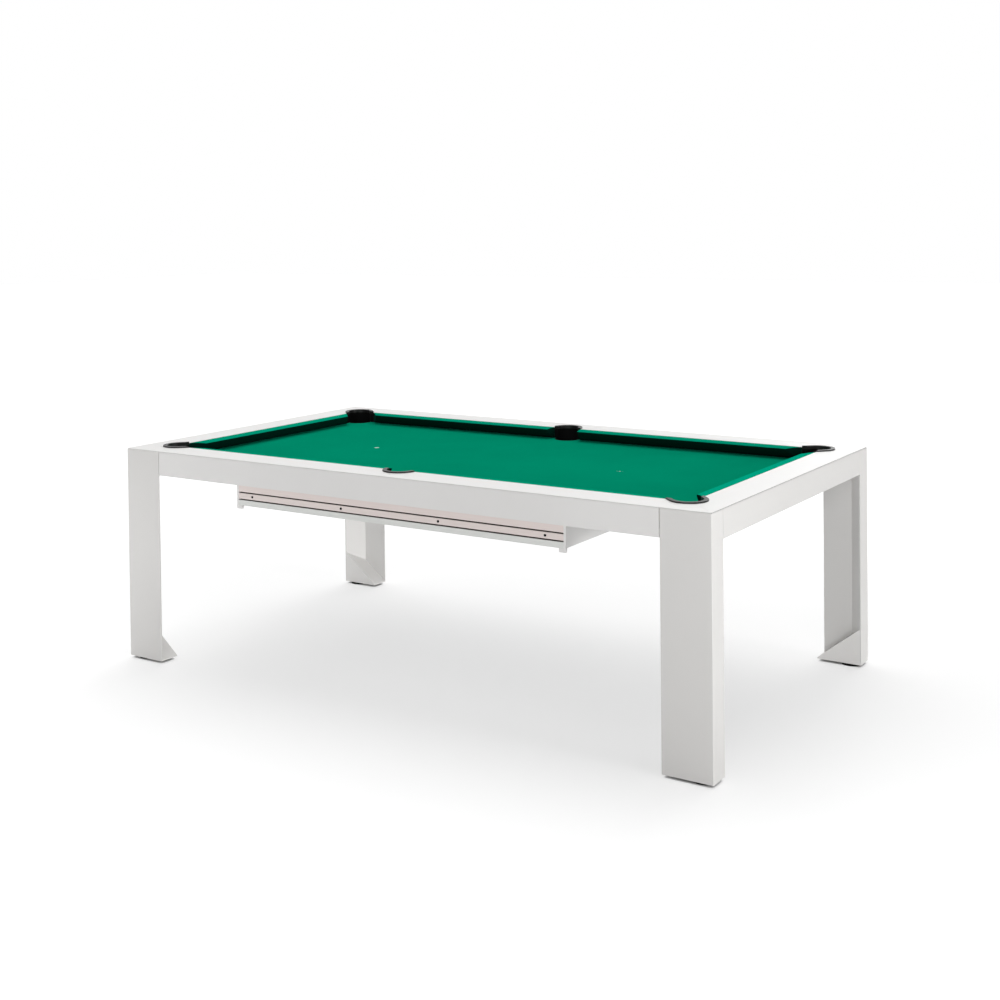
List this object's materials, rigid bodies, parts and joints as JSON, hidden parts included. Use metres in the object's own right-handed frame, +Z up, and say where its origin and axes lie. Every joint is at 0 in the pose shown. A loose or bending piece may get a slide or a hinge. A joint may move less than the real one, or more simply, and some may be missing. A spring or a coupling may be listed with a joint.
{
  "type": "pool table",
  "caption": "Rectangular pool table with drop pockets, cushioned rails, white angle legs on levelling feet, and a shallow drawer that slides out from under one long side.",
  "frame": {"origin": "on the floor under the middle of the table, at the bottom centre of its box", "axes": "+X along the table, +Y across it away from the drawer's front, +Z up"},
  "size_m": [2.29, 1.3, 0.7645],
  "materials": {
    "white_steel": "satin white powder coat",
    "frame_steel": "matt light grey primer",
    "slate": "honed dark slate",
    "bed_baize": "green woven baize",
    "cushion_baize": "rubber covered in green woven baize",
    "rail_wood": "sanded hardwood",
    "pocket_rubber": "semi-gloss black",
    "pocket_plastic": "matt black",
    "spot_white": "matt",
    "bolt_steel": "zinc plated",
    "foot_black": "matt black",
    "backing_black": "matt black",
    "strip_beige": "satin anodised, warm beige",
    "sill_grey": "satin anodised, pale grey",
    "screw_black": "blackened",
    "drawer_board": "white melamine faced",
    "drawer_felt": "dark grey felt",
    "runner_steel": "zinc plated"
  },
  "bodies": {
    "table": {"apron_front": "white_steel", "apron_left": "white_steel", "apron_rear": "white_steel", "apron_right": "white_steel", "bed_cloth": "bed_baize", "corner_pocket_cups": "pocket_plastic", "cushion_front_left": "cushion_baize", "cushion_front_right": "cushion_baize", "cushion_left": "cushion_baize", "cushion_rear_left": "cushion_baize", "cushion_rear_right": "cushion_baize", "cushion_right": "cushion_baize", "drawer_hangers": "white_steel", "frame_beam_front": "frame_steel", "frame_beam_left": "frame_steel", "frame_beam_rear": "frame_steel", "frame_beam_right": "frame_steel", "frame_bolts": "bolt_steel", "frame_cross_beams": "frame_steel", "leg_gusset_front_left": "white_steel", "leg_gusset_front_right": "white_steel", "leg_gusset_rear_left": "white_steel", "leg_gusset_rear_right": "white_steel", "leg_shell_front_left": "white_steel", "leg_shell_front_right": "white_steel", "leg_shell_rear_left": "white_steel", "leg_shell_rear_right": "white_steel", "pocket_ring_front_left": "pocket_rubber", "pocket_ring_front_right": "pocket_rubber", "pocket_ring_rear_left": "pocket_rubber", "pocket_ring_rear_right": "pocket_rubber", "pocket_ring_side_front": "pocket_rubber", "pocket_ring_side_rear": "pocket_rubber", "rail_bolts": "bolt_steel", "rail_cap_front": "white_steel", "rail_cap_left": "white_steel", "rail_cap_rear": "white_steel", "rail_cap_right": "white_steel", "rail_core_front": "rail_wood", "rail_core_left": "rail_wood", "rail_core_rear": "rail_wood", "rail_core_right": "rail_wood", "runner_fixed": "runner_steel", "side_pocket_cups": "pocket_plastic", "slate_bed": "slate", "table_spots": "spot_white"},
    "drawer": {"drawer_backing": "backing_black", "drawer_front_strips": "strip_beige", "drawer_front_sill": "sill_grey", "drawer_front_screws": "screw_black", "drawer_pulls": "white_steel", "drawer_walls": "drawer_board", "drawer_bottom": "drawer_board", "drawer_liner": "drawer_felt", "runner_drawer": "runner_steel"},
    "runner_middle": {"runner_middle": "runner_steel"},
    "levelling_foot_front_left": {"levelling_foot_front_left": "foot_black"},
    "levelling_foot_front_right": {"levelling_foot_front_right": "foot_black"},
    "levelling_foot_rear_right": {"levelling_foot_rear_right": "foot_black"},
    "levelling_foot_rear_left": {"levelling_foot_rear_left": "foot_black"}
  },
  "joints": [
    {"name": "drawer_slide", "type": "slide", "parent": "table", "child": "drawer", "axis": [0, -1, 0], "range_m": [0, 0.4]},
    {"name": "runner_slide", "type": "slide", "parent": "table", "child": "runner_middle", "axis": [0, -1, 0], "range_m": [0, 0.2]},
    {"name": "levelling_screw_front_left", "type": "slide", "parent": "table", "child": "levelling_foot_front_left", "axis": [0, 0, -1], "range_m": [0, 0.012]},
    {"name": "levelling_screw_front_right", "type": "slide", "parent": "table", "child": "levelling_foot_front_right", "axis": [0, 0, -1], "range_m": [0, 0.012]},
    {"name": "levelling_screw_rear_right", "type": "slide", "parent": "table", "child": "levelling_foot_rear_right", "axis": [0, 0, -1], "range_m": [0, 0.012]},
    {"name": "levelling_screw_rear_left", "type": "slide", "parent": "table", "child": "levelling_foot_rear_left", "axis": [0, 0, -1], "range_m": [0, 0.012]}
  ],
  "couplings": [
    {"joint": "runner_slide", "follows": "drawer_slide", "ratio": 0.5}
  ]
}
